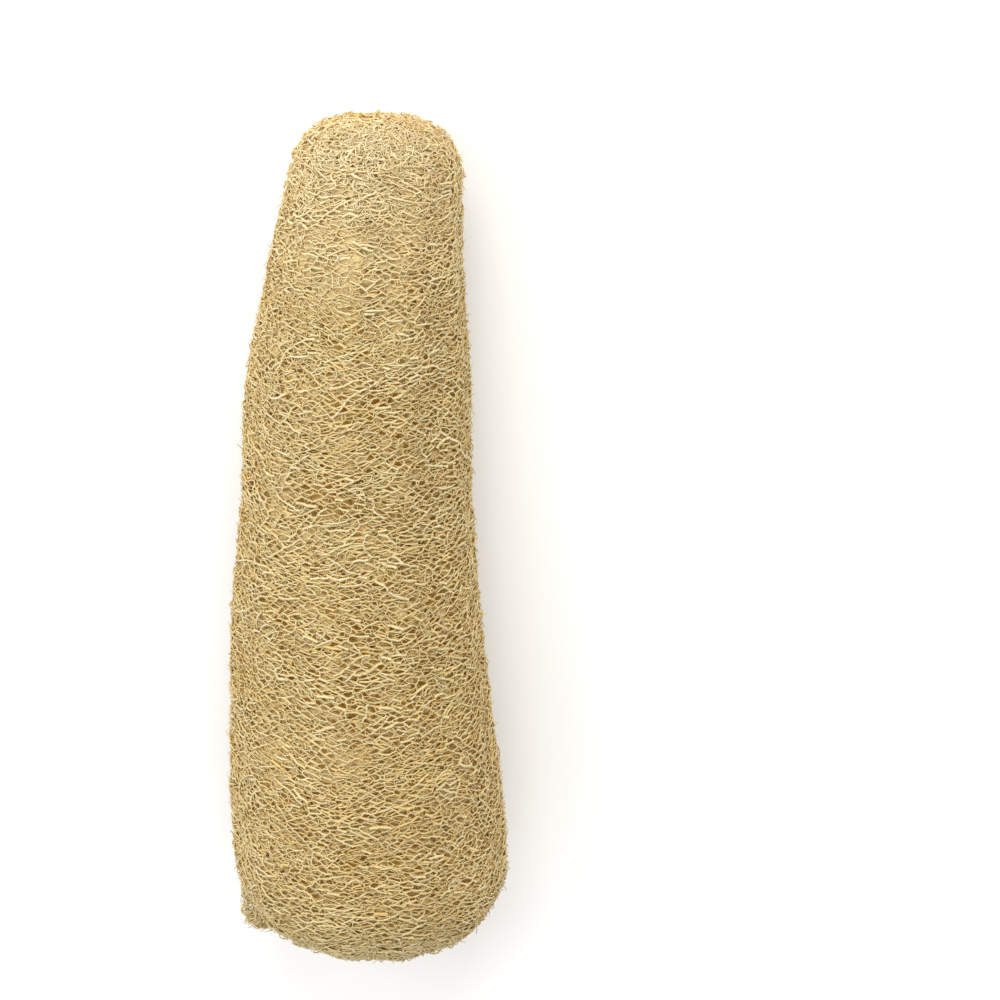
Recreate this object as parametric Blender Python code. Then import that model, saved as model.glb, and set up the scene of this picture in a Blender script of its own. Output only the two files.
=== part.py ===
"""Natural loofah sponge, the dried fibre skeleton of one gourd, lying on its side.

Metres, +Z up. The narrow stem end points along +Y and the wide blossom end along -Y. It is one grown
piece, so it is one object: a gourd-shaped body whose whole surface is a raised net. The fibres stand
up as crests that part and join again in knots, and every mesh of the net between them is a pit.
"""
import math
import random

import bmesh
import bpy
from mathutils import Vector, noise

LENGTH = 0.2990

# Half widths of the gourd and the sideways place of its middle line, from the wide end to the narrow one.
STATION = (0.0, 0.12, 0.30, 0.50, 0.70, 0.84, 0.94, 1.0)
HALF_WIDTH = (0.0422, 0.0476, 0.0452, 0.0410, 0.0373, 0.0327, 0.0286, 0.0290)
MIDDLE_X = (0.0025, 0.0004, -0.0024, -0.0033, -0.0018, 0.0011, 0.0043, 0.0037)

FLATTENING = 0.88          # height over width: a dry gourd settles a little
WIDE_DOME = 0.032          # length over which the wide end rounds off
NARROW_DOME = 0.025
SQUARENESS = 2.6           # 2 is a round dome, more is a squarer one

# The underside: pressed flat where the weight lies, and lifting a little towards both ends.
REST_AT = 0.43
REST_SINK = 0.0014
REST_LIFT = 0.0080
PRESSED = 0.0006           # fibres this near to the ground are pressed onto it

RIBS = 10                  # shallow ridges along the gourd, above its bundles of long fibres
RIB_HEIGHT = 0.0006
SWELL = 0.0012             # slow unevenness of the grown body
SWELL_SIZE = 0.045

MESHES_ROUND = 20          # meshes of the net round the gourd
ROWS = 43                  # rows of meshes from one end to the other
KNOT_SHIFT = 0.20          # how far a knot strays, as a share of a mesh
KNOT_RISE = 0.0005
MESH_SLANT = 0.22          # how far the knots of a row part, as a share of its height
PIT_DEPTH = 0.0034         # from the crest of a fibre to the floor of the mesh beside it
PIT_VARIATION = 0.0007
FIBRE_SLOPE = 0.30         # share of a mesh, from its rim to its middle, that the sides of its fibres take
JOINED_MESHES = 0.020      # share of fibres that are missing, so that two meshes run together

TORN_PLACE = Vector((-0.034, -0.1415, 0.040))
TORN_SIZE = 0.009
TORN_DEPTH = 0.0045
FRAYS = 46                 # broken fibre ends standing out at the two ends
FRAY_HEIGHT = 0.0024


def along(values, t):
    """A smooth curve through the values that the stations give, at share t of the length."""
    slopes = []
    for i in range(len(values)):
        low = max(i - 1, 0)
        high = min(i + 1, len(values) - 1)
        slopes.append((values[high] - values[low]) / (STATION[high] - STATION[low]))
    i = 0
    while i < len(values) - 2 and t > STATION[i + 1]:
        i += 1
    span = STATION[i + 1] - STATION[i]
    u = (t - STATION[i]) / span
    start = (2 * u ** 3 - 3 * u ** 2 + 1) * values[i] + (u ** 3 - 2 * u ** 2 + u) * span * slopes[i]
    end = (3 * u ** 2 - 2 * u ** 3) * values[i + 1] + (u ** 3 - u ** 2) * span * slopes[i + 1]
    return start + end


def rounding(distance, length):
    """1 along the body, falling to 0 where a dome closes it."""
    near = min(max(distance / length, 0.0), 1.0)
    return (1 - (1 - near) ** SQUARENESS) ** (1 / SQUARENESS)


def half_width(t):
    closing = rounding(t * LENGTH, WIDE_DOME) * rounding((1 - t) * LENGTH, NARROW_DOME)
    return along(HALF_WIDTH, t) * closing


def arc_shares(steps=1200):
    """Pairs of share of the surface from end to end, and share of the length, to space the rows evenly."""
    pairs = [(0.0, 0.0)]
    before = (0.0, 0.0)
    for i in range(1, steps + 1):
        t = (1 - math.cos(math.pi * i / steps)) / 2
        here = (t * LENGTH, half_width(t))
        pairs.append((pairs[-1][0] + math.dist(before, here), t))
        before = here
    return [(arc / pairs[-1][0], t) for arc, t in pairs]


ARC = arc_shares()


def length_share(surface_share):
    for (a, t_a), (b, t_b) in zip(ARC, ARC[1:]):
        if surface_share <= b:
            return t_a + (t_b - t_a) * (surface_share - a) / (b - a)
    return 1.0


def on_body(t, angle):
    """The point of the gourd's smooth form at share t of the length and this angle round it."""
    width = half_width(t)
    height = width * FLATTENING
    middle_z = along(HALF_WIDTH, t) * FLATTENING - REST_SINK + REST_LIFT * ((t - REST_AT) / 0.5) ** 2
    return Vector((
        along(MIDDLE_X, t) + width * math.cos(angle),
        (t - 0.5) * LENGTH,
        middle_z + height * math.sin(angle),
    ))


def outward(t, angle):
    """The outward direction of the smooth form, from two short steps along its surface."""
    t = min(max(t, 0.0025), 0.9975)
    lengthwise = on_body(t + 0.002, angle) - on_body(t - 0.002, angle)
    round_it = on_body(t, angle + 0.02) - on_body(t, angle - 0.02)
    return lengthwise.cross(round_it).normalized()


def grown(t, angle, height):
    """A point of the real surface: the form with its ribs, swellings and torn corner, raised by height."""
    point = on_body(t, angle)
    normal = outward(t, angle)
    middle_share = rounding(t * LENGTH, 0.06) * rounding((1 - t) * LENGTH, 0.06)
    rise = RIB_HEIGHT * middle_share * math.cos(RIBS * angle + 2.2 * t)
    rise += SWELL * noise.noise(point / SWELL_SIZE)
    rise -= TORN_DEPTH * math.exp(-((point - TORN_PLACE).length / TORN_SIZE) ** 2)
    point += normal * (rise + height)
    if point.z < PRESSED:
        point.z = 0.0
    return point


def ball_place(point):
    """Share of the surface, counted from the wide end, and the angle round it, of a point on the ball."""
    upright = max(-1.0, min(1.0, point.z / point.length))
    return 1 - math.acos(upright) / math.pi, math.atan2(point.y, point.x)


def woven_ball():
    """A ball whose surface is divided like a net: rows of meshes, every knot joining three fibres."""
    bm = bmesh.new()
    columns = 2 * MESHES_ROUND
    bmesh.ops.create_uvsphere(bm, u_segments=columns, v_segments=ROWS, radius=1.0)
    rng = random.Random(11)
    unwanted = []
    for edge in bm.edges:
        a, b = (vert.co for vert in edge.verts)
        if abs(a.z - b.z) < 1e-4:
            continue
        share, angle = ball_place((a + b) / 2)
        row = int(share * ROWS)
        column = round(angle / math.tau * columns) % columns
        room = half_width(length_share((row + 0.5) / ROWS)) / max(HALF_WIDTH)
        stride = 2 if room > 0.55 else 4 if room > 0.28 else 8
        meets_pole = row in (0, ROWS - 1)
        if meets_pole or (column + row * stride // 2) % stride or rng.random() < JOINED_MESHES:
            unwanted.append(edge)
    bmesh.ops.dissolve_edges(bm, edges=unwanted, use_verts=True)
    return bm


def slants(vert):
    """+1 for a knot whose third fibre runs on towards the narrow end, -1 for the opposite, else 0."""
    total = 0
    for edge in vert.link_edges:
        rise = edge.other_vert(vert).co.z - vert.co.z
        if abs(rise) > 1e-3:
            total += 1 if rise > 0 else -1
    return total


def ground_centre(bm):
    """The middle of the box round the whole piece, on the ground."""
    xs = [vert.co.x for vert in bm.verts]
    ys = [vert.co.y for vert in bm.verts]
    return Vector((min(xs) + max(xs), min(ys) + max(ys), 0.0)) / 2


def build_sponge():
    bm = woven_ball()
    rng = random.Random(5)
    placed = []
    for vert in bm.verts:
        surface_share, angle = ball_place(vert.co)
        surface_share += (rng.uniform(-1, 1) * KNOT_SHIFT + slants(vert) * MESH_SLANT) / ROWS
        t = length_share(min(max(surface_share, 0.0), 1.0))
        room = max(half_width(t) / max(HALF_WIDTH), 0.25)
        angle += rng.uniform(-1, 1) * KNOT_SHIFT * math.pi / MESHES_ROUND / room ** 0.5
        placed.append((vert, t, angle, rng.uniform(-1, 1) * KNOT_RISE))
    near_ends = [i for i, (_, t, _, _) in enumerate(placed) if t < 0.04 or t > 0.95]
    frayed = set(rng.sample(near_ends, min(FRAYS, len(near_ends))))
    for i, (vert, t, angle, rise) in enumerate(placed):
        vert.co = grown(t, angle, rise + (FRAY_HEIGHT * rng.random() if i in frayed else 0.0))

    bmesh.ops.recalc_face_normals(bm, faces=bm.faces[:])
    bm.normal_update()
    meshes = list(bm.faces)
    pits = []
    for face in meshes:
        centre = face.calc_center_median()
        depth = PIT_DEPTH + PIT_VARIATION * rng.uniform(-1, 1)
        if all(vert.co.z == 0.0 for vert in face.verts):
            depth = 0.0
        pits.append((face, centre, face.normal * depth))
    bmesh.ops.inset_individual(bm, faces=meshes, thickness=0.0, depth=0.0)
    for face, centre, inward in pits:
        for vert in face.verts:
            vert.co = vert.co.lerp(centre, FIBRE_SLOPE) - inward
            vert.co.z = max(vert.co.z, 0.0)

    bmesh.ops.translate(bm, verts=bm.verts[:], vec=-ground_centre(bm))
    for face in bm.faces:
        face.smooth = True
    mesh = bpy.data.meshes.new("loofah_sponge")
    bm.to_mesh(mesh)
    bm.free()
    return bpy.data.objects.new("loofah_sponge", mesh)


def straw():
    material = bpy.data.materials.new("dried loofah fibre")
    material.use_nodes = True
    shader = material.node_tree.nodes["Principled BSDF"]
    shader.inputs["Base Color"].default_value = (0.62, 0.44, 0.20, 1.0)
    shader.inputs["Roughness"].default_value = 0.72
    shader.inputs["Metallic"].default_value = 0.0
    return material


for old in list(bpy.data.objects):
    bpy.data.objects.remove(old, do_unlink=True)
collection = bpy.data.collections.new("loofah sponge")
bpy.context.scene.collection.children.link(collection)
sponge = build_sponge()
sponge.data.materials.append(straw())
collection.objects.link(sponge)
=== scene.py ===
import math

import bpy
import numpy as np
from mathutils import Matrix, Vector, geometry, noise


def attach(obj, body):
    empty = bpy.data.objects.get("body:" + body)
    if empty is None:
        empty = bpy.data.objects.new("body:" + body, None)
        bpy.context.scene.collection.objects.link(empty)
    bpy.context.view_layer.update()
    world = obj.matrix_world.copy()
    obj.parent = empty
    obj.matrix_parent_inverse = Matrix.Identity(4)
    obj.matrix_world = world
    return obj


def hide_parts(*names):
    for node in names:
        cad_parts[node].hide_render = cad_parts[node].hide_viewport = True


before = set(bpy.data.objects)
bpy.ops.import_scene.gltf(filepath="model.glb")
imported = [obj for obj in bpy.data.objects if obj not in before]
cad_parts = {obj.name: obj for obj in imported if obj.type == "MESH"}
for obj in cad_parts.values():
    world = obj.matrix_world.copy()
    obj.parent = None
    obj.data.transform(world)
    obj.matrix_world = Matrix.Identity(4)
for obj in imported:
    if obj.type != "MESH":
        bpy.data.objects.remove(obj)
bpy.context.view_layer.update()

# The gourd's form, with the same sizes as the solid has.
LENGTH = 0.2990
STATION = np.array((0.0, 0.12, 0.30, 0.50, 0.70, 0.84, 0.94, 1.0))
HALF_WIDTH = np.array((0.0422, 0.0476, 0.0452, 0.0410, 0.0373, 0.0327, 0.0286, 0.0290))
MIDDLE_X = np.array((0.0025, 0.0004, -0.0024, -0.0033, -0.0018, 0.0011, 0.0043, 0.0037))
FLATTENING = 0.88
WIDE_DOME = 0.032
NARROW_DOME = 0.025
SQUARENESS = 2.6
MEAN_RADIUS = 0.94         # of the flattened section, as a share of its half width
REST_AT = 0.43
REST_SINK = 0.0014
REST_LIFT = 0.0080
RIBS = 10
RIB_HEIGHT = 0.0006
SWELL = 0.0012
SWELL_SIZE = 0.045
TORN_PLACE = np.array((-0.034, -0.1415, 0.040))
TORN_SIZE = 0.009
TORN_DEPTH = 0.0045
FLAP_PLACE = np.array((-0.0380, -0.1370, 0.038))
FLAP = 0.0085              # how far the loose net stands out beside the torn place

MESH_WIDTH = 0.0040        # a mesh of the outer net, measured round the gourd
MESH_HEIGHT = 0.0021       # and along it
END_MESH = 0.0027          # the ends have rounder meshes
SIDES_FROM = 0.026         # over the skin, from the tip of the wide end to the net of the sides
SIDES_TO = 0.020           # and from that net to the tip of the narrow end
WIDE_END_NET = 0.046       # how far the net of each end reaches from its tip
NARROW_END_NET = 0.034
ROW_PITCH = 0.87           # rows of meshes lie this near together, as a share of a mesh's height
FIBRE_RADIUS = 0.00034
MIDDLE_RADIUS = FIBRE_RADIUS * 1.15
HAIR_RADIUS = FIBRE_RADIUS * 0.9
FIBRE_SIDES = 3
SHORT_FIBRE = 0.0011       # a fibre shorter than this stays straight
WAVE = 0.11                # how far the middle of a fibre strays, as a share of a mesh
STEEP_SINK = 0.0004        # fibres that run along the gourd lie this much lower than those round it
NEAR_KNOTS = 0.0004        # knots of a strand nearer to each other than this are one
FELT_DEPTH = 0.0017        # the matted layer under the net, between its pits
PIT_DEPTH = 0.0044         # and at the bottom of a pit
PIT_SIZE = np.array((0.0031, 0.0017, 0.0031))
MATTED_PIT = 0.58          # share of a pit's depth that is left where the net is matted

# Places where the skin is torn and long fibre ends stand out: share of length, angle, reach, hairs.
TUFTS = (
    (0.030, 3.24, 0.0060, 110),
    (0.050, 3.05, 0.0060, 40),
    (0.012, 2.75, 0.0070, 60),
    (0.004, 0.85, 0.0050, 60),
    (0.985, 1.10, 0.0110, 90),
    (0.985, 2.10, 0.0110, 90),
    (0.990, 0.30, 0.0100, 60),
)


def along(values, t):
    """A smooth curve through the values that the stations give, at shares t of the length."""
    slopes = np.empty_like(values)
    slopes[1:-1] = (values[2:] - values[:-2]) / (STATION[2:] - STATION[:-2])
    slopes[0] = (values[1] - values[0]) / (STATION[1] - STATION[0])
    slopes[-1] = (values[-1] - values[-2]) / (STATION[-1] - STATION[-2])
    i = np.clip(np.searchsorted(STATION, t) - 1, 0, len(values) - 2)
    span = STATION[i + 1] - STATION[i]
    u = (t - STATION[i]) / span
    start = (2 * u**3 - 3 * u**2 + 1) * values[i] + (u**3 - 2 * u**2 + u) * span * slopes[i]
    end = (3 * u**2 - 2 * u**3) * values[i + 1] + (u**3 - u**2) * span * slopes[i + 1]
    return start + end


def rounding(distance, length):
    """1 along the body, falling to 0 where a dome closes it."""
    near = np.clip(distance / length, 0.0, 1.0)
    return (1 - (1 - near) ** SQUARENESS) ** (1 / SQUARENESS)


def half_width(t):
    """Half of the gourd's width at shares t of the length."""
    closing = rounding(t * LENGTH, WIDE_DOME) * rounding((1 - t) * LENGTH, NARROW_DOME)
    return along(HALF_WIDTH, t) * closing


ARC_SHARE = (1 - np.cos(np.linspace(0, np.pi, 2400))) / 2
ARC_STEPS = np.hypot(np.diff(ARC_SHARE * LENGTH), np.diff(half_width(ARC_SHARE)))
ARC = np.concatenate([[0.0], np.cumsum(ARC_STEPS)])
SURFACE_LENGTH = ARC[-1]   # from end to end over the skin


def length_share(arc):
    """Share of the length at a distance over the skin from the tip of the wide end."""
    return np.interp(arc, ARC, ARC_SHARE)


def on_body(t, angle):
    """Points of the gourd's smooth form at shares t of the length and these angles round it."""
    width = half_width(t)
    middle_z = along(HALF_WIDTH, t) * FLATTENING - REST_SINK + REST_LIFT * ((t - REST_AT) / 0.5) ** 2
    return np.stack([
        along(MIDDLE_X, t) + width * np.cos(angle),
        (t - 0.5) * LENGTH,
        middle_z + width * FLATTENING * np.sin(angle),
    ], axis=-1)


def outward(t, angle):
    """The outward direction of the smooth form, from two short steps along its surface."""
    t = np.clip(t, 0.0025, 0.9975)
    lengthwise = on_body(t + 0.002, angle) - on_body(t - 0.002, angle)
    round_it = on_body(t, angle + 0.02) - on_body(t, angle - 0.02)
    normal = np.cross(lengthwise, round_it)
    return normal / np.linalg.norm(normal, axis=-1, keepdims=True)


def uneven(points, size, seed=0.0):
    """Soft unevenness from -1 to 1 at each point, with lumps of about this size."""
    shift = Vector((seed, seed * 0.7, -seed))
    return np.array([noise.noise(Vector(p) / size + shift) for p in points.tolist()])


def skin(t, angle, height):
    """Points of the grown surface, raised by height and pressed flat where the sponge lies. Over the
    torn place the inner layers are sunk and the outer ones stand away as a loose flap."""
    points = on_body(t, angle)
    middle_share = rounding(t * LENGTH, 0.06) * rounding((1 - t) * LENGTH, 0.06)
    rise = RIB_HEIGHT * middle_share * np.cos(RIBS * angle + 2.2 * t)
    rise = rise + SWELL * uneven(points, SWELL_SIZE)
    torn = np.linalg.norm(points - TORN_PLACE, axis=-1) / TORN_SIZE
    flap = np.linalg.norm(points - FLAP_PLACE, axis=-1) / TORN_SIZE
    loose = np.clip(1.2 + height / 0.0015, 0.0, 1.0)
    rise = rise - TORN_DEPTH * (1 - loose) * np.exp(-torn**2)
    rise = rise + FLAP * loose * (1 + 0.6 * uneven(points, 0.0024, 7.0)) * np.exp(-flap**2)
    points = points + outward(t, angle) * (rise + height)[:, None]
    points[:, 2] = np.maximum(points[:, 2], 1.8 * FIBRE_RADIUS - np.minimum(height, 0.0) * 0.5)
    return points


def side_points(mesh_width, mesh_height, rng):
    """Middles of the meshes round the sides, in rows, in a plane where a mesh is about one unit wide."""
    rows = []
    start, stop = SIDES_FROM, SURFACE_LENGTH - SIDES_TO
    for row, arc in enumerate(np.arange(start, stop, mesh_height * ROW_PITCH)):
        radius = half_width(length_share(arc)) * MEAN_RADIUS
        count = max(int(round(2 * math.pi * radius / mesh_width)), 6)
        place = (np.arange(count) + 0.5 * (row % 2) + rng.uniform(-0.33, 0.33, count)) / count
        angle = (place % 1.0) * 2 * math.pi - math.pi
        arcs = arc + rng.uniform(-0.38, 0.38, count) * mesh_height
        margin = 3.5 * mesh_width / radius
        low, high = angle < -math.pi + margin, angle > math.pi - margin
        angle = np.concatenate([angle, angle[low] + 2 * math.pi, angle[high] - 2 * math.pi])
        arcs = np.concatenate([arcs, arcs[low], arcs[high]])
        local = half_width(length_share(arcs)) * MEAN_RADIUS
        rows.append(np.stack([angle * local / mesh_width, arcs / mesh_height], axis=-1))
    return np.concatenate(rows)


def end_points(reach, mesh, wide_end, rng):
    """Middles of the meshes over a rounded end, in rings, in a plane where a mesh is one unit wide."""
    rings = []
    for arc in np.arange(mesh * 0.5, reach, mesh * ROW_PITCH):
        radius = half_width(length_share(arc if wide_end else SURFACE_LENGTH - arc)) * MEAN_RADIUS
        count = max(int(round(2 * math.pi * radius / mesh)), 3)
        angle = (np.arange(count) + rng.uniform(-0.45, 0.45, count)) / count * 2 * math.pi
        away = (arc + rng.uniform(-0.45, 0.45, count) * mesh) / mesh
        rings.append(np.stack([away * np.cos(angle), away * np.sin(angle)], axis=-1))
    return np.concatenate(rings)


def knots_and_fibres(points):
    """The net round these points: a knot in each triangle between them, a fibre across each side that
    two triangles share."""
    corners = [Vector(p) for p in points.tolist()]
    _, _, faces, *_ = geometry.delaunay_2d_cdt(corners, [], [], 0, 1e-7)
    faces = np.array([face for face in faces if len(face) == 3])
    sides = points[faces] - points[np.roll(faces, 1, axis=1)]
    faces = faces[np.linalg.norm(sides, axis=-1).max(axis=1) < 3.2]
    knots = points[faces].mean(axis=1)
    ends = np.sort(np.concatenate([faces[:, [0, 1]], faces[:, [1, 2]], faces[:, [2, 0]]]), axis=1)
    owner = np.tile(np.arange(len(faces)), 3)
    key = ends[:, 0].astype(np.int64) * len(points) + ends[:, 1]
    order = np.argsort(key, kind="stable")
    key, owner = key[order], owner[order]
    shared = np.nonzero(key[1:] == key[:-1])[0]
    return knots, np.stack([owner[shared], owner[shared + 1]], axis=-1)


def strands_of(knots, fibres, stretch):
    """Strings the fibres together: at each knot the two that are straightest run on as one strand, and
    the third ends there. Returns the knots of all strands one after another, and the strand of each."""
    touching = [[] for _ in range(len(knots))]
    for index, (a, b) in enumerate(fibres.tolist()):
        touching[a].append((index, b))
        touching[b].append((index, a))
    real = knots * stretch
    onward = {}
    for knot, met in enumerate(touching):
        best, pair = -0.2, None
        for i in range(len(met)):
            for j in range(i):
                first = real[met[i][1]] - real[knot]
                second = real[met[j][1]] - real[knot]
                straight = -first.dot(second) / (np.linalg.norm(first) * np.linalg.norm(second) + 1e-12)
                if straight > best:
                    best, pair = straight, (met[i][0], met[j][0])
        if pair:
            onward[(knot, pair[0])] = pair[1]
            onward[(knot, pair[1])] = pair[0]
    ends = fibres.tolist()
    used = np.zeros(len(ends), bool)

    def follow(knot, fibre):
        chain = []
        while fibre is not None and not used[fibre]:
            used[fibre] = True
            a, b = ends[fibre]
            knot = b if knot == a else a
            chain.append(knot)
            fibre = onward.get((knot, fibre))
        return chain

    order, strand = [], []
    count = 0
    for fibre, (a, b) in enumerate(ends):
        if used[fibre]:
            continue
        forward = follow(a, fibre)
        before = onward.get((a, fibre))
        backward = follow(a, before) if before is not None else []
        chain = backward[::-1] + [a] + forward
        order += chain
        strand += [count] * len(chain)
        count += 1
    return np.array(order), np.array(strand)


def neighbours(strand):
    """For each point of the strands, the index of the one before and after it, or its own at an end."""
    index = np.arange(len(strand))
    same = strand[1:] == strand[:-1]
    before = np.where(np.concatenate([[False], same]), index - 1, index)
    after = np.where(np.concatenate([same, [False]]), index + 1, index)
    return before, after


def drawn_together(knots, fibres, stretch, rng):
    """Shortens the fibres that run along the gourd, so that the strands round it meet at a slant and the
    meshes between them are lens shaped."""
    across = (knots[fibres[:, 1]] - knots[fibres[:, 0]]) * stretch
    upright = np.abs(across[:, 1]) / (np.abs(across[:, 0]) + 1e-9)
    pull = np.clip((upright - 0.5) / 0.7, 0, 1) * rng.uniform(0.35, 1.0, len(fibres)) * 0.46
    step = (knots[fibres[:, 1]] - knots[fibres[:, 0]]) * pull[:, None]
    moved = knots.copy()
    np.add.at(moved, fibres[:, 0], step)
    np.add.at(moved, fibres[:, 1], -step)
    return moved


def drawn_net(points, stretch, rng, depth, spread, curved, slanted):
    """A net as smooth strands: place in the plane, height, thickness, tint and strand of each point."""
    knots, fibres = knots_and_fibres(points)
    if slanted:
        knots = drawn_together(knots, fibres, stretch, rng)
    order, strand = strands_of(knots, fibres, stretch)
    before, after = neighbours(strand)
    inside = (before != np.arange(len(order))) & (after != np.arange(len(order)))
    for _ in range(2):
        between = (knots[order[before]] + knots[order[after]]) / 2
        knots[order[inside]] += 0.35 * (between[inside] - knots[order[inside]])
    count = strand[-1] + 1
    strand_height = np.clip(rng.normal(0.0, 0.5, count), -1, 1) * spread - depth
    strand_thickness = np.clip(rng.lognormal(-0.08, 0.32, count), 0.5, 1.7)
    knot_height = np.full(len(knots), -depth)
    knot_height[order[inside]] = strand_height[strand[inside]]
    knot_height += rng.uniform(-0.25, 0.25, len(knots)) * spread
    apart = np.linalg.norm((knots[order] - knots[order[before]]) * stretch, axis=-1) > NEAR_KNOTS
    kept = np.nonzero(apart | ~inside)[0]
    order, strand = order[kept], strand[kept]
    before, after = neighbours(strand)
    place = knots[order]
    run = np.abs((place[after] - place[before]) * stretch)
    upright = run[:, 1] / (run.sum(axis=1) + 1e-9)
    height = knot_height[order] - STEEP_SINK * upright * slanted
    thickness = strand_thickness[strand] * rng.uniform(0.9, 1.12, len(order))
    thickness *= 1.08 - 0.40 * upright * slanted
    tint = rng.uniform(0, 1, count)
    if not curved:
        return place, height, thickness, tint[strand], strand
    onward = np.concatenate([strand[1:] == strand[:-1], [False]])
    length = np.linalg.norm((place[after] - place) * stretch, axis=-1)
    long_one = np.nonzero(onward & (length > SHORT_FIBRE))[0]
    middle = 9 * (place[long_one] + place[long_one + 1])
    middle = (middle - place[before[long_one]] - place[after[long_one + 1]]) / 16
    middle += rng.uniform(-WAVE, WAVE, middle.shape)
    gap_before = np.zeros(len(order), int)
    gap_before[long_one + 1] = 1
    at_knot = np.arange(len(order)) + np.cumsum(gap_before)
    at_middle = at_knot[long_one] + 1
    total = len(order) + len(long_one)
    new_place, new_strand = np.empty((total, 2)), np.empty(total, int)
    new_height, new_thickness = np.empty(total), np.empty(total)
    new_place[at_knot], new_place[at_middle] = place, middle
    new_height[at_knot] = height
    new_height[at_middle] = (height[long_one] + height[long_one + 1]) / 2
    new_height[at_middle] += rng.normal(0.0, 0.4, len(long_one)) * spread
    new_thickness[at_knot] = thickness * 1.22
    new_thickness[at_middle] = (thickness[long_one] + thickness[long_one + 1]) / 2 * 0.86
    new_strand[at_knot], new_strand[at_middle] = strand, strand[long_one]
    return new_place, new_height, new_thickness, tint[new_strand], new_strand


def cut_strands(strand, keep):
    """Renumbers the strands after points are left out, so that no strand jumps over a gap."""
    index = np.nonzero(keep)[0]
    breaks = (np.diff(index) > 1) | (np.diff(strand[index]) != 0)
    return index, np.concatenate([[0], np.cumsum(breaks)])


def drift(angle, arc, rng, amount=0.0011):
    """Slow bends of the strands along the gourd, the same on both sides of the seam."""
    moved = np.zeros_like(arc)
    for _ in range(14):
        turns = rng.integers(-5, 6)
        moved += np.sin(turns * angle + rng.uniform(-190, 190) * arc + rng.uniform(0, 2 * math.pi))
    return moved * amount / 14**0.5 * 1.4


def sides_net(mesh_width, mesh_height, depth, spread, seed, curved):
    """The net round the sides, from the dome of one end to that of the other."""
    rng = np.random.default_rng(seed)
    points = side_points(mesh_width, mesh_height, rng)
    place, height, thickness, tint, strand = drawn_net(
        points, np.array((mesh_width, mesh_height)), rng, depth, spread, curved, True)
    arc = place[:, 1] * mesh_height
    angle = place[:, 0] * mesh_width / np.maximum(half_width(length_share(arc)) * MEAN_RADIUS, 1e-4)
    index, strand = cut_strands(strand, np.abs(angle) <= math.pi + 0.5 * mesh_width / 0.04)
    angle, arc = angle[index], arc[index]
    t = length_share(np.clip(arc + drift(angle, arc, rng), 0, SURFACE_LENGTH))
    points = skin(t, angle + math.pi / 2, height[index])
    return points, thickness[index], tint[index], strand


def end_net(reach, mesh, wide_end, depth, spread, seed, curved):
    """The net over one rounded end, out to this reach from its tip."""
    rng = np.random.default_rng(seed)
    points = end_points(reach, mesh, wide_end, rng)
    place, height, thickness, tint, strand = drawn_net(
        points, np.array((mesh, mesh)), rng, depth, spread, curved, False)
    arc = np.linalg.norm(place, axis=-1) * mesh
    t = length_share(arc if wide_end else SURFACE_LENGTH - arc)
    points = skin(t, np.arctan2(place[:, 1], place[:, 0]), height)
    return points, thickness, tint, strand


def joined(*layers):
    """Several sets of strands as one."""
    points = np.concatenate([layer[0] for layer in layers])
    thickness = np.concatenate([layer[1] for layer in layers])
    tint = np.concatenate([layer[2] for layer in layers])
    strand, first = [], 0
    for layer in layers:
        strand.append(layer[3] + first)
        first += layer[3].max() + 1
    return points, thickness, tint, np.concatenate(strand)


def part_of(layer, keep):
    """The strands of a layer whose first points the function keep picks out."""
    points, thickness, tint, strand = layer
    starts = np.concatenate([[True], np.diff(strand) != 0])
    kept = keep(points[starts])[np.cumsum(starts) - 1]
    renumbered = np.cumsum(starts[kept]) - 1
    return points[kept], thickness[kept], tint[kept], renumbered


def fibre_tree():
    """Geometry Nodes: gives lines their thickness, as closed tubes with rounded shading."""
    tree = bpy.data.node_groups.new("fibres along lines", "GeometryNodeTree")
    tree.interface.new_socket("Geometry", in_out="INPUT", socket_type="NodeSocketGeometry")
    tree.interface.new_socket("Radius", in_out="INPUT", socket_type="NodeSocketFloat")
    tree.interface.new_socket("Sides", in_out="INPUT", socket_type="NodeSocketInt")
    tree.interface.new_socket("Material", in_out="INPUT", socket_type="NodeSocketMaterial")
    tree.interface.new_socket("Geometry", in_out="OUTPUT", socket_type="NodeSocketGeometry")
    nodes, links = tree.nodes, tree.links
    given = nodes.new("NodeGroupInput")
    result = nodes.new("NodeGroupOutput")
    to_curve = nodes.new("GeometryNodeMeshToCurve")
    thickness = nodes.new("GeometryNodeInputNamedAttribute")
    thickness.data_type = "FLOAT"
    thickness.inputs["Name"].default_value = "thickness"
    radius = nodes.new("ShaderNodeMath")
    radius.operation = "MULTIPLY"
    profile = nodes.new("GeometryNodeCurvePrimitiveCircle")
    profile.inputs["Radius"].default_value = 1.0
    to_mesh = nodes.new("GeometryNodeCurveToMesh")
    to_mesh.inputs["Fill Caps"].default_value = True
    smooth = nodes.new("GeometryNodeSetShadeSmooth")
    realize = nodes.new("GeometryNodeRealizeInstances")
    set_material = nodes.new("GeometryNodeSetMaterial")
    links.new(given.outputs["Geometry"], to_curve.inputs["Mesh"])
    links.new(thickness.outputs["Attribute"], radius.inputs[0])
    links.new(given.outputs["Radius"], radius.inputs[1])
    links.new(given.outputs["Sides"], profile.inputs["Resolution"])
    links.new(to_curve.outputs["Curve"], to_mesh.inputs["Curve"])
    links.new(radius.outputs["Value"], to_mesh.inputs["Scale"])
    links.new(profile.outputs["Curve"], to_mesh.inputs["Profile Curve"])
    links.new(to_mesh.outputs["Mesh"], smooth.inputs["Geometry"])
    links.new(smooth.outputs["Geometry"], realize.inputs["Geometry"])
    links.new(realize.outputs["Geometry"], set_material.inputs["Geometry"])
    links.new(given.outputs["Material"], set_material.inputs["Material"])
    links.new(set_material.outputs["Geometry"], result.inputs["Geometry"])
    return tree


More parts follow.
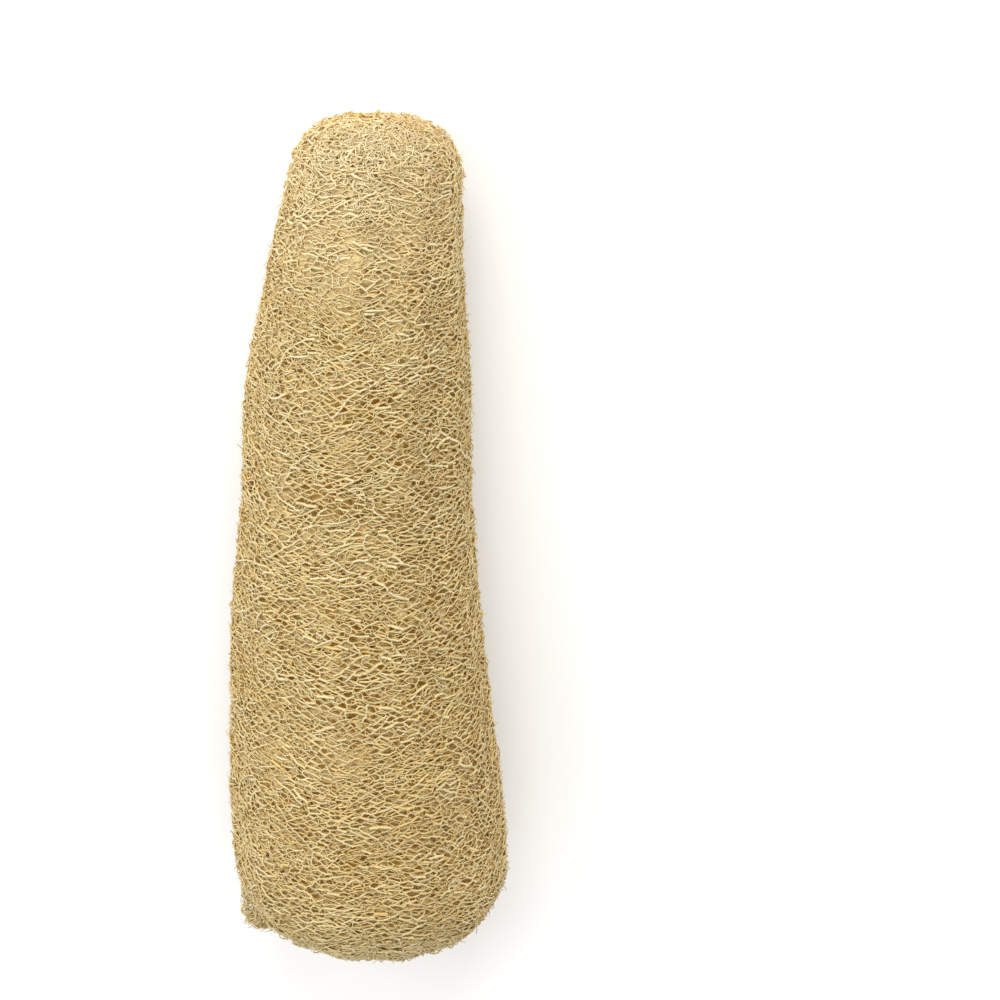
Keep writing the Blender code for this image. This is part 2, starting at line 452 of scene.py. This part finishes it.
FIBRE_TREE = fibre_tree()


def fibre_piece(name, layer, radius, material):
    """One piece of the sponge from a layer's strands."""
    points, thickness, tint, strand = layer
    lines = bpy.data.meshes.new(name + "_lines")
    lines.vertices.add(len(points))
    lines.vertices.foreach_set("co", points.astype(np.float32).ravel())
    same = np.nonzero(strand[1:] == strand[:-1])[0]
    lines.edges.add(len(same))
    lines.edges.foreach_set("vertices", np.stack([same, same + 1], axis=-1).astype(np.int32).ravel())
    for attribute, values in (("thickness", thickness), ("tint", tint)):
        stored = lines.attributes.new(attribute, "FLOAT", "POINT")
        stored.data.foreach_set("value", values.astype(np.float32))
    source = bpy.data.objects.new(name + "_lines", lines)
    bpy.context.scene.collection.objects.link(source)
    modifier = source.modifiers.new("fibres", "NODES")
    modifier.node_group = FIBRE_TREE
    sockets = {item.name: item.identifier for item in FIBRE_TREE.interface.items_tree
               if item.in_out == "INPUT"}
    modifier[sockets["Radius"]] = radius
    modifier[sockets["Sides"]] = FIBRE_SIDES
    modifier[sockets["Material"]] = material
    bpy.context.view_layer.update()
    evaluated = source.evaluated_get(bpy.context.evaluated_depsgraph_get())
    mesh = bpy.data.meshes.new_from_object(evaluated)
    mesh.name = name
    bpy.data.objects.remove(source, do_unlink=True)
    bpy.data.meshes.remove(lines)
    piece = bpy.data.objects.new(name, mesh)
    bpy.context.scene.collection.objects.link(piece)
    if not mesh.materials:
        mesh.materials.append(material)
    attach(piece, "root")
    return piece


def straw_colours():
    """Shader group: the colour of dried fibre, from a strand's own tint and slow changes over the gourd.
    Painted light makes the narrow end paler, and painted shade makes the sides of a fibre that face into
    the gourd browner and darker."""
    group = bpy.data.node_groups.new("straw colours", "ShaderNodeTree")
    for socket, kind in (("Pale", "NodeSocketColor"), ("Deep", "NodeSocketColor"),
                         ("Aged", "NodeSocketColor"), ("Aged Share", "NodeSocketFloat")):
        group.interface.new_socket(socket, in_out="INPUT", socket_type=kind)
    group.interface.new_socket("Color", in_out="OUTPUT", socket_type="NodeSocketColor")
    group.interface.new_socket("Grain", in_out="OUTPUT", socket_type="NodeSocketFloat")
    nodes, links = group.nodes, group.links
    given, result = nodes.new("NodeGroupInput"), nodes.new("NodeGroupOutput")
    place = nodes.new("ShaderNodeTexCoord")
    tint = nodes.new("ShaderNodeAttribute")
    tint.attribute_name = "tint"
    patches = nodes.new("ShaderNodeTexNoise")
    patches.inputs["Scale"].default_value = 38.0
    patches.inputs["Detail"].default_value = 3.0
    flecks = nodes.new("ShaderNodeTexNoise")
    flecks.inputs["Scale"].default_value = 420.0
    flecks.inputs["Detail"].default_value = 4.0
    for texture in (patches, flecks):
        links.new(place.outputs["Object"], texture.inputs["Vector"])
    own = nodes.new("ShaderNodeMix")
    own.data_type = "RGBA"
    links.new(tint.outputs["Fac"], own.inputs["Factor"])
    links.new(given.outputs["Pale"], own.inputs["A"])
    links.new(given.outputs["Deep"], own.inputs["B"])
    patch_share = nodes.new("ShaderNodeMapRange")
    patch_share.inputs["From Min"].default_value = 0.40
    patch_share.inputs["From Max"].default_value = 0.72
    links.new(patches.outputs["Fac"], patch_share.inputs["Value"])
    fleck_share = nodes.new("ShaderNodeMapRange")
    fleck_share.inputs["From Min"].default_value = 0.50
    fleck_share.inputs["From Max"].default_value = 0.78
    links.new(flecks.outputs["Fac"], fleck_share.inputs["Value"])
    both = nodes.new("ShaderNodeMath")
    both.operation = "ADD"
    links.new(patch_share.outputs["Result"], both.inputs[0])
    links.new(fleck_share.outputs["Result"], both.inputs[1])
    share = nodes.new("ShaderNodeMath")
    share.operation = "MULTIPLY"
    share.use_clamp = True
    links.new(both.outputs["Value"], share.inputs[0])
    links.new(given.outputs["Aged Share"], share.inputs[1])
    aged = nodes.new("ShaderNodeMix")
    aged.data_type = "RGBA"
    links.new(share.outputs["Value"], aged.inputs["Factor"])
    links.new(own.outputs["Result"], aged.inputs["A"])
    links.new(given.outputs["Aged"], aged.inputs["B"])
    along_it = nodes.new("ShaderNodeSeparateXYZ")
    links.new(place.outputs["Object"], along_it.inputs["Vector"])
    # Painted light: the colour turns pale cream towards the narrow end, as if more light fell on that
    # end.
    narrow_end_light_share = nodes.new("ShaderNodeMapRange")
    narrow_end_light_share.inputs["From Min"].default_value = 0.085
    narrow_end_light_share.inputs["From Max"].default_value = 0.150
    narrow_end_light_share.inputs["To Max"].default_value = 0.52
    links.new(along_it.outputs["Y"], narrow_end_light_share.inputs["Value"])
    narrow_end_light = nodes.new("ShaderNodeMix")
    narrow_end_light.data_type = "RGBA"
    narrow_end_light.inputs["B"].default_value = (0.83, 0.73, 0.47, 1.0)
    links.new(narrow_end_light_share.outputs["Result"], narrow_end_light.inputs["Factor"])
    links.new(aged.outputs["Result"], narrow_end_light.inputs["A"])
    from_middle = nodes.new("ShaderNodeVectorMath")
    from_middle.operation = "MULTIPLY_ADD"
    from_middle.inputs[1].default_value = (1.0, 0.09, 1.25)
    from_middle.inputs[2].default_value = (0.0, 0.0, -0.05)
    links.new(place.outputs["Object"], from_middle.inputs[0])
    away = nodes.new("ShaderNodeVectorMath")
    away.operation = "NORMALIZE"
    links.new(from_middle.outputs["Vector"], away.inputs[0])
    surface = nodes.new("ShaderNodeNewGeometry")
    facing = nodes.new("ShaderNodeVectorMath")
    facing.operation = "DOT_PRODUCT"
    links.new(surface.outputs["Normal"], facing.inputs[0])
    links.new(away.outputs["Vector"], facing.inputs[1])
    # Painted shade: the sides of each fibre that face into the gourd are multiplied towards a warm
    # brown, standing in for the shade and warm bounced light between the fibres.
    inward_shade_share = nodes.new("ShaderNodeMapRange")
    inward_shade_share.inputs["From Min"].default_value = 0.75
    inward_shade_share.inputs["From Max"].default_value = -0.30
    links.new(facing.outputs["Value"], inward_shade_share.inputs["Value"])
    inner = nodes.new("ShaderNodeMix")
    inner.data_type = "RGBA"
    inner.blend_type = "MULTIPLY"
    inner.inputs["B"].default_value = (1.0, 0.73, 0.32, 1.0)
    links.new(inward_shade_share.outputs["Result"], inner.inputs["Factor"])
    links.new(narrow_end_light.outputs["Result"], inner.inputs["A"])
    links.new(inner.outputs["Result"], result.inputs["Color"])
    links.new(flecks.outputs["Fac"], result.inputs["Grain"])
    return group


STRAW_COLOURS = straw_colours()


def fine_web():
    """Shader group: a fine web of hairs drawn over a colour, fading out where the tint is deep."""
    group = bpy.data.node_groups.new("fine web", "ShaderNodeTree")
    for socket, kind in (("Color", "NodeSocketColor"), ("Hair Color", "NodeSocketColor"),
                         ("Scale", "NodeSocketFloat")):
        group.interface.new_socket(socket, in_out="INPUT", socket_type=kind)
    group.interface.new_socket("Color", in_out="OUTPUT", socket_type="NodeSocketColor")
    group.interface.new_socket("Height", in_out="OUTPUT", socket_type="NodeSocketFloat")
    nodes, links = group.nodes, group.links
    given, result = nodes.new("NodeGroupInput"), nodes.new("NodeGroupOutput")
    place = nodes.new("ShaderNodeTexCoord")
    tint = nodes.new("ShaderNodeAttribute")
    tint.attribute_name = "tint"
    wander = nodes.new("ShaderNodeTexNoise")
    wander.inputs["Scale"].default_value = 500.0
    wander.inputs["Detail"].default_value = 1.0
    links.new(place.outputs["Object"], wander.inputs["Vector"])
    strayed = nodes.new("ShaderNodeVectorMath")
    strayed.operation = "MULTIPLY_ADD"
    strayed.inputs[1].default_value = (0.0016, 0.0012, 0.0016)
    links.new(wander.outputs["Color"], strayed.inputs[0])
    links.new(place.outputs["Object"], strayed.inputs[2])
    flattened = nodes.new("ShaderNodeVectorMath")
    flattened.operation = "MULTIPLY"
    flattened.inputs[1].default_value = (1.0, 1.9, 1.0)
    links.new(strayed.outputs["Vector"], flattened.inputs[0])
    cells = nodes.new("ShaderNodeTexVoronoi")
    cells.feature = "DISTANCE_TO_EDGE"
    links.new(flattened.outputs["Vector"], cells.inputs["Vector"])
    links.new(given.outputs["Scale"], cells.inputs["Scale"])
    hairs = nodes.new("ShaderNodeMapRange")
    hairs.interpolation_type = "SMOOTHSTEP"
    hairs.inputs["From Min"].default_value = 0.16
    hairs.inputs["From Max"].default_value = 0.04
    links.new(cells.outputs["Distance"], hairs.inputs["Value"])
    shallow = nodes.new("ShaderNodeMath")
    shallow.operation = "SUBTRACT"
    shallow.inputs[0].default_value = 1.0
    shallow.use_clamp = True
    links.new(tint.outputs["Fac"], shallow.inputs[1])
    share = nodes.new("ShaderNodeMath")
    share.operation = "MULTIPLY"
    links.new(hairs.outputs["Result"], share.inputs[0])
    links.new(shallow.outputs["Value"], share.inputs[1])
    drawn = nodes.new("ShaderNodeMix")
    drawn.data_type = "RGBA"
    links.new(share.outputs["Value"], drawn.inputs["Factor"])
    links.new(given.outputs["Color"], drawn.inputs["A"])
    links.new(given.outputs["Hair Color"], drawn.inputs["B"])
    links.new(drawn.outputs["Result"], result.inputs["Color"])
    links.new(share.outputs["Value"], result.inputs["Height"])
    return group


FINE_WEB = fine_web()


def straw(name, pale, deep, aged, aged_share, roughness=0.62, webs=()):
    """Dried plant fibre: matte, with a grain and a colour that changes from strand to strand. Each web
    gives the size and the colour of hairs drawn over it."""
    material = bpy.data.materials.new(name)
    material.use_nodes = True
    nodes, links = material.node_tree.nodes, material.node_tree.links
    shader = nodes["Principled BSDF"]
    shader.inputs["Roughness"].default_value = roughness
    shader.inputs["Specular IOR Level"].default_value = 0.35
    colours = nodes.new("ShaderNodeGroup")
    colours.node_tree = STRAW_COLOURS
    for socket, colour in (("Pale", pale), ("Deep", deep), ("Aged", aged)):
        colours.inputs[socket].default_value = (*colour, 1.0)
    colours.inputs["Aged Share"].default_value = aged_share
    colour, height = colours.outputs["Color"], colours.outputs["Grain"]
    for scale, hair_colour in webs:
        web = nodes.new("ShaderNodeGroup")
        web.node_tree = FINE_WEB
        web.inputs["Scale"].default_value = scale
        web.inputs["Hair Color"].default_value = (*hair_colour, 1.0)
        links.new(colour, web.inputs["Color"])
        colour, height = web.outputs["Color"], web.outputs["Height"]
    links.new(colour, shader.inputs["Base Color"])
    bump = nodes.new("ShaderNodeBump")
    bump.inputs["Strength"].default_value = 0.6 if webs else 0.25
    bump.inputs["Distance"].default_value = 0.0004 if webs else 0.0002
    links.new(height, bump.inputs["Height"])
    links.new(bump.outputs["Normal"], shader.inputs["Normal"])
    return material


OUTER_STRAW = straw("outer straw", (0.665, 0.60, 0.37), (0.60, 0.495, 0.245), (0.50, 0.36, 0.15), 0.26)
CURL_STRAW = straw("curl straw", (0.73, 0.63, 0.36), (0.65, 0.51, 0.22), (0.54, 0.39, 0.15), 0.26)
MIDDLE_STRAW = straw("middle straw", (0.70, 0.57, 0.29), (0.655, 0.49, 0.185), (0.58, 0.39, 0.10), 0.30)
FELT_STRAW = straw("matted straw", (0.53, 0.345, 0.085), (0.56, 0.30, 0.04), (0.44, 0.28, 0.06), 0.40,
                   webs=((420.0, (0.69, 0.57, 0.30)), (760.0, (0.67, 0.54, 0.27))))


def whole_net(scale, depth, spread, seed, curved=True):
    """One layer of the net over the sides and both ends."""
    return joined(
        sides_net(MESH_WIDTH * scale, MESH_HEIGHT * scale, depth, spread, seed, curved),
        end_net(WIDE_END_NET, END_MESH * scale, True, depth, spread, seed + 1, curved),
        end_net(NARROW_END_NET, END_MESH * scale, False, depth, spread, seed + 2, curved),
    )


def arc_of(t):
    """Distance over the skin from the tip of the wide end, at shares t of the length."""
    return np.interp(t, ARC_SHARE, ARC)


def loose_hairs(count, shortest, longest, seed, near_ends):
    """Thin broken fibre ends that stand out of the net, each a short bent line."""
    rng = np.random.default_rng(seed)
    t = rng.uniform(0, 1, count)
    gathered = rng.uniform(0, 1, count) < near_ends
    t[gathered] = np.where(rng.uniform(0, 1, gathered.sum()) < 0.6, rng.beta(1.2, 14, gathered.sum()),
                           1 - rng.beta(1.2, 14, gathered.sum()))
    angle = rng.uniform(0, 2 * math.pi, count)
    length = shortest + (longest - shortest) * rng.beta(1.4, 3.0, count)
    first = 0
    for tuft_t, tuft_angle, reach, hairs in TUFTS:
        own = slice(first, first + hairs)
        t[own] = length_share(np.abs(arc_of(tuft_t) + rng.normal(0, reach / 2, hairs)))
        angle[own] = tuft_angle + rng.normal(0, reach / 2, hairs) / np.maximum(half_width(t[own]), 0.01)
        length[own] = rng.uniform(longest * 0.5, longest * 1.1, hairs)
        first += hairs
    heading = rng.uniform(0, 2 * math.pi, count)
    lift = rng.uniform(0.15, 0.75, count)
    lift[:first] = rng.uniform(0.35, 0.90, first)
    bend = rng.normal(0.0, 0.7, count)
    arc = arc_of(t)
    radius = np.maximum(half_width(t), 0.006)
    lines = []
    for step in (0.0, 0.5, 1.0):
        turned = heading + bend * step
        along_it = length * step * np.sqrt(1 - lift**2)
        new_arc = np.clip(arc + along_it * np.sin(turned), 0.0, SURFACE_LENGTH)
        new_angle = angle + along_it * np.cos(turned) / radius
        height = length * step * lift * (1.15 - 0.3 * step) - 0.0004
        lines.append(skin(length_share(new_arc), new_angle, height))
    points = np.stack(lines, axis=1).reshape(-1, 3)
    thickness = np.tile((0.62, 0.5, 0.3), count) * np.repeat(rng.uniform(0.7, 1.25, count), 3)
    tint = np.repeat(rng.uniform(0, 0.8, count), 3)
    return points, thickness, tint, np.repeat(np.arange(count), 3)


def curls(count, seed):
    """Short thin curls that fill the meshes in patches, most towards the narrow end and down a side."""
    rng = np.random.default_rng(seed)
    tries = 3 * count
    t = rng.uniform(0, 1, tries)
    to_end = rng.uniform(0, 1, tries) < 0.36
    t[to_end] = 1 - 0.42 * rng.beta(1.0, 1.8, to_end.sum())
    angle = rng.uniform(0, 2 * math.pi, tries)
    matted = rng.uniform(0, 1, tries) < 0.26
    angle[matted] = rng.normal(2.70, 0.34, matted.sum())
    patchy = 0.42 + 1.3 * uneven(on_body(t, angle), 0.016, 4.0) > rng.uniform(0, 1, tries)
    t, angle = t[patchy][:count], angle[patchy][:count]
    count = len(t)
    length = rng.uniform(0.0022, 0.0052, count)
    heading = rng.normal(0.0, 0.75, count) + math.pi * (rng.uniform(0, 1, count) < 0.5)
    bend = rng.normal(0.0, 1.1, count)
    depth = rng.uniform(0.0002, 0.0016, count)
    arc, radius = arc_of(t), np.maximum(half_width(t), 0.006)
    lines = []
    for step in (-0.5, -0.17, 0.17, 0.5):
        turned = heading + bend * step
        new_arc = np.clip(arc + length * step * np.sin(turned), 0.0, SURFACE_LENGTH)
        new_angle = angle + length * step * np.cos(turned) / radius
        lines.append(skin(length_share(new_arc), new_angle, rng.normal(0, 0.0002, count) - depth))
    points = np.stack(lines, axis=1).reshape(-1, 3)
    thickness = np.repeat(rng.uniform(0.5, 0.95, count), 4)
    tint = np.repeat(rng.uniform(0, 1, count), 4)
    return points, thickness, tint, np.repeat(np.arange(count), 4)


def long_strands(count, seed):
    """Longer, paler strands that run over the net, mostly round the gourd."""
    rng = np.random.default_rng(seed)
    steps = 7
    t = rng.uniform(0.02, 0.98, count)
    angle = rng.uniform(0, 2 * math.pi, count)
    length = rng.uniform(0.004, 0.010, count)
    slope = rng.normal(0.0, 0.20, count)
    share = np.linspace(-0.5, 0.5, steps)
    radius = np.maximum(half_width(t), 0.010)[:, None]
    wave = np.cumsum(np.cumsum(rng.normal(0, 0.00013, (count, steps)), axis=1), axis=1)
    arc = arc_of(t)[:, None] + length[:, None] * share * slope[:, None] + wave
    turned = angle[:, None] + length[:, None] * share * np.cos(slope)[:, None] / radius
    height = 0.0002 + rng.normal(0, 0.00020, (count, steps)) - 0.0007 * np.abs(2 * share) ** 3
    t = length_share(np.clip(arc, 0, SURFACE_LENGTH))
    points = skin(t.ravel(), turned.ravel(), height.ravel())
    thickness = rng.uniform(0.75, 1.25, count)[:, None] * (1.0 - 0.35 * np.abs(2 * share) ** 3)
    tint = np.repeat(rng.uniform(0, 0.45, count), steps)
    return points, thickness.ravel(), tint, np.repeat(np.arange(count), steps)


def loops(count, seed):
    """Curly fibres that rise out of the skin and bend back into it, most at the rims of the two ends."""
    rng = np.random.default_rng(seed)
    steps = 6
    from_tip = rng.beta(1.1, 5.0, count) * 0.16
    t = np.where(rng.uniform(0, 1, count) < 0.72, 1 - from_tip, from_tip)
    everywhere = rng.uniform(0, 1, count) < 0.3
    t[everywhere] = rng.uniform(0, 1, everywhere.sum())
    angle = rng.uniform(0, 2 * math.pi, count)
    length = rng.uniform(0.0025, 0.0065, count)
    heading = rng.uniform(0, 2 * math.pi, count)
    bend = rng.normal(0.0, 2.0, count)
    lift = rng.uniform(0.0003, 0.0016, count) * np.where(everywhere, 0.6, 1.0)
    arc, radius = arc_of(t), np.maximum(half_width(t), 0.008)
    lines = []
    for share in np.linspace(-0.5, 0.5, steps):
        turned = heading + bend * share
        new_arc = np.clip(arc + length * share * np.sin(turned), 0.0, SURFACE_LENGTH)
        new_angle = angle + length * share * np.cos(turned) / radius
        lines.append(skin(length_share(new_arc), new_angle, lift * (1 - 4 * share**2) - 0.0003))
    points = np.stack(lines, axis=1).reshape(-1, 3)
    thickness = np.repeat(rng.uniform(0.55, 1.0, count), steps)
    tint = np.repeat(rng.uniform(0, 0.6, count), steps)
    return points, thickness, tint, np.repeat(np.arange(count), steps)


def matted_share(t, angle):
    """0 where the net is open, 1 where its meshes are filled: at both ends and down the upper left."""
    side = np.exp(-((np.mod(angle, 2 * math.pi) - 2.65) / 0.50) ** 2)
    ends = np.clip((t - 0.66) / 0.25, 0, 1) + np.clip((0.09 - t) / 0.07, 0, 1)
    return np.clip(0.75 * side + 0.8 * ends + 0.9 * uneven(on_body(t, angle), 0.020, 4.0), 0, 1)


def felt():
    """The matted layer under the net: a closed surface with a pit under every open mesh."""
    rows, columns = 300, 220
    arcs = np.linspace(0, SURFACE_LENGTH, rows + 1)[1:-1]
    angles = np.linspace(0, 2 * math.pi, columns, endpoint=False)
    t, angle = np.meshgrid(length_share(arcs), angles, indexing="ij")
    t, angle = t.ravel(), angle.ravel()
    lumps = uneven(on_body(t, angle) / PIT_SIZE, 1.0, 2.0)
    matted = matted_share(t, angle)
    openness = np.clip((lumps + 0.06 - 0.25 * matted) / 0.24, 0, 1)
    openness = openness**2 * (3 - 2 * openness)
    top = FELT_DEPTH * (1 - 0.14 * matted)
    bottom = PIT_DEPTH * (1 - (1 - MATTED_PIT) * matted)
    points = skin(t, angle, -top - (bottom - top) * openness)
    tips = skin(np.array((0.0, 1.0)), np.array((0.0, 0.0)), np.full(2, -FELT_DEPTH))
    # Painted shade: the felt's tint is deeper where the net is open and deepest in the pits, which take
    # the deep brown colour and lose the pale hair web; matted places stay paler.
    tint = 0.16 * (1 - matted) + (0.84 - 0.34 * matted) * openness
    faces = []
    for row in range(rows - 2):
        for column in range(columns):
            right = (column + 1) % columns
            a, b = row * columns + column, row * columns + right
            faces.append((a, a + columns, b + columns, b))
    first, last = len(points), len(points) + 1
    for column in range(columns):
        right = (column + 1) % columns
        faces.append((first, column, right))
        faces.append((last, (rows - 2) * columns + right, (rows - 2) * columns + column))
    mesh = bpy.data.meshes.new("felt")
    mesh.from_pydata(np.concatenate([points, tips]).tolist(), [], faces)
    mesh.attributes.new("tint", "FLOAT", "POINT").data.foreach_set(
        "value", np.concatenate([tint, (0.0, 0.0)]).astype(np.float32))
    mesh.polygons.foreach_set("use_smooth", np.ones(len(faces), bool))
    mesh.materials.append(FELT_STRAW)
    piece = bpy.data.objects.new("felt", mesh)
    bpy.context.scene.collection.objects.link(piece)
    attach(piece, "root")
    return piece


outer = whole_net(scale=1.0, depth=0.0004, spread=0.0006, seed=21)
middle = whole_net(scale=1.08, depth=0.0011, spread=0.0005, seed=31, curved=False)
hairs = loose_hairs(count=5900, shortest=0.0012, longest=0.0044, seed=61, near_ends=0.35)
first_cut, second_cut = np.quantile(outer[0][:, 1], (0.34, 0.67))
pieces = [
    fibre_piece("outer_net_wide", part_of(outer, lambda p: p[:, 1] < first_cut),
                FIBRE_RADIUS, OUTER_STRAW),
    fibre_piece("outer_net_middle",
                part_of(outer, lambda p: (p[:, 1] >= first_cut) & (p[:, 1] < second_cut)),
                FIBRE_RADIUS, OUTER_STRAW),
    fibre_piece("outer_net_narrow", part_of(outer, lambda p: p[:, 1] >= second_cut),
                FIBRE_RADIUS, OUTER_STRAW),
    fibre_piece("middle_net", middle, MIDDLE_RADIUS, MIDDLE_STRAW),
    fibre_piece("long_strands", long_strands(count=250, seed=51), FIBRE_RADIUS, OUTER_STRAW),
    fibre_piece("loose_hairs", hairs, HAIR_RADIUS, OUTER_STRAW),
    fibre_piece("curls", curls(count=6800, seed=71), HAIR_RADIUS, CURL_STRAW),
    fibre_piece("curly_loops", loops(count=1000, seed=81), HAIR_RADIUS, OUTER_STRAW),
    felt(),
]
for piece in pieces:
    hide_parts("loofah_sponge")


def floor():
    """A plain pale floor under the sponge."""
    mesh = bpy.data.meshes.new("floor")
    reach = 4.0
    corners = [(-reach, -reach, 0), (reach, -reach, 0), (reach, reach, 0), (-reach, reach, 0)]
    mesh.from_pydata(corners, [], [(0, 1, 2, 3)])
    material = bpy.data.materials.new("pale floor")
    material.use_nodes = True
    shader = material.node_tree.nodes["Principled BSDF"]
    shader.inputs["Base Color"].default_value = (0.9, 0.9, 0.9, 1.0)
    shader.inputs["Roughness"].default_value = 0.9
    mesh.materials.append(material)
    piece = bpy.data.objects.new("floor", mesh)
    bpy.context.scene.collection.objects.link(piece)


def soft_light(name, place, size, power, colour=(1.0, 1.0, 1.0)):
    """A square soft box that faces the middle of the sponge."""
    light = bpy.data.lights.new(name, "AREA")
    light.color = colour
    light.shape = "SQUARE"
    light.size = size
    light.energy = power
    holder = bpy.data.objects.new(name, light)
    holder.location = place
    towards = Vector((0.0, 0.0, 0.04)) - Vector(place)
    holder.rotation_euler = towards.to_track_quat("-Z", "Y").to_euler()
    bpy.context.scene.collection.objects.link(holder)


def camera():
    """Looks down on the sponge, leaning towards its narrow end."""
    tilt = math.radians(20)
    distance = 1.25
    target = Vector((0.0461, 0.0167, 0.04))
    place = target + Vector((0, math.sin(tilt), math.cos(tilt))) * distance
    lens = bpy.data.cameras.new("camera")
    lens.sensor_width = 36
    lens.lens = lens.sensor_width * 3.6514
    lens.clip_end = 20
    holder = bpy.data.objects.new("camera", lens)
    forward = (target - place).normalized()
    right = forward.cross(Vector((0, 1, 0))).normalized()
    up = right.cross(forward)
    holder.matrix_world = Matrix((
        (right.x, up.x, -forward.x, place.x),
        (right.y, up.y, -forward.y, place.y),
        (right.z, up.z, -forward.z, place.z),
        (0, 0, 0, 1),
    ))
    bpy.context.scene.collection.objects.link(holder)
    bpy.context.scene.camera = holder


floor()
soft_light("left soft box", (-0.9, 0.4, 0.9), 0.8, 6.5)
soft_light("right soft box", (1.0, 0.2, 0.8), 0.8, 1.5, (1.0, 0.78, 0.50))
soft_light("front soft box", (0.0, 1.25, 0.95), 0.8, 13)
camera()
world = bpy.data.worlds.new("studio")
world.use_nodes = True
world.node_tree.nodes["Background"].inputs["Color"].default_value = (1, 1, 1, 1)
world.node_tree.nodes["Background"].inputs["Strength"].default_value = 0.93
bpy.context.scene.world = world
bpy.context.scene.view_settings.view_transform = "Standard"
